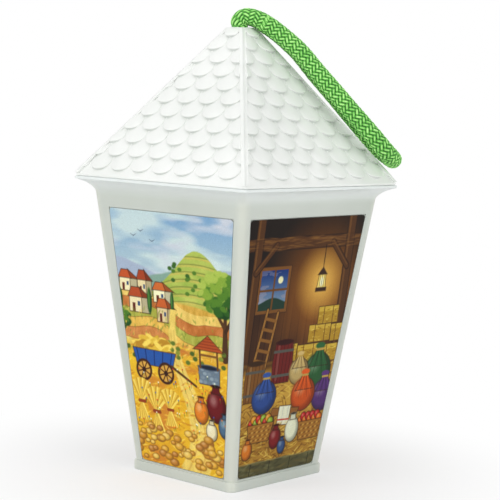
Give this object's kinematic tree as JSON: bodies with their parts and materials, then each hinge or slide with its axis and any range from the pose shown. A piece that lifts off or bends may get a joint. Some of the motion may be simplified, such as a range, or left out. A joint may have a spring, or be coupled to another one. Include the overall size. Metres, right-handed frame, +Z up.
{
  "type": "led lantern",
  "caption": "Battery lantern with a tapered square body of milky plastic, picture films, a hollow tiled roof and a braided rope loop.",
  "frame": {"origin": "centre of the square foot, at the level of the surface it stands on", "axes": "+Z up along the lantern's axis; the four walls face +X, -X, +Y and -Y; the rope loop hangs over the +X +Y corner, and the picture looks at the +X -Y corner"},
  "size_m": [0.1077, 0.112, 0.2079],
  "materials": {
    "body": "milky see-through plastic, satin, lit from inside when the lamp is on",
    "roof": "white moulded plastic, satin",
    "film_blue": "printed film, a pale blue landscape design over an ochre ground",
    "film_brown": "printed film, a dark brown interior design with ochre ground",
    "rope": "bright green braided cord",
    "base": "moulded plastic, fine satin texture",
    "cell": "printed jacket, plain, bare steel ends",
    "contact": "nickel-plated spring steel",
    "black_plastic": "moulded plastic",
    "board": "green solder mask over glass fibre board",
    "screw": "zinc-plated, cross recess",
    "lens": "clear epoxy lens, warm tint",
    "resistor": "lacquered, four colour bands",
    "frosted": "frosted see-through plastic",
    "wire_red": "soft vinyl insulation",
    "wire_black": "soft vinyl insulation"
  },
  "bodies": {
    "lantern_body": {"body_shell": "body", "picture_film_front": "film_blue", "picture_film_right": "film_brown", "picture_film_back": "film_blue", "picture_film_left": "film_brown", "base_housing": "base", "battery_cell_1": "cell", "battery_cell_2": "cell", "battery_cell_3": "cell", "contact_positive": "contact", "contact_bridge_right": "contact", "contact_bridge_left": "contact", "contact_negative": "contact", "switch_body": "black_plastic", "circuit_board": "board", "board_screw_1": "screw", "board_screw_2": "screw", "lamp": "lens", "resistor": "resistor", "light_diffuser": "frosted", "base_screw_1": "screw", "base_screw_2": "screw", "base_screw_3": "screw", "base_screw_4": "screw", "wire_positive": "wire_red", "wire_switch": "wire_red", "wire_negative": "wire_black"},
    "lid": {"roof": "roof", "rope_handle": "rope", "rope_neck": "rope", "rope_knot": "rope"},
    "door": {"battery_door": "base"},
    "slider": {"switch_slider": "black_plastic"}
  },
  "joints": [
    {"name": "roof_lift", "type": "slide", "parent": "lantern_body", "child": "lid", "axis": [0, 0, 1], "range_m": [0, 0.06]},
    {"name": "battery_door_drop", "type": "slide", "parent": "lantern_body", "child": "door", "axis": [0, 0, -1], "range_m": [0, 0.03]},
    {"name": "switch_slide", "type": "slide", "parent": "lantern_body", "child": "slider", "axis": [1, 0, 0], "range_m": [0, 0.0025]}
  ]
}
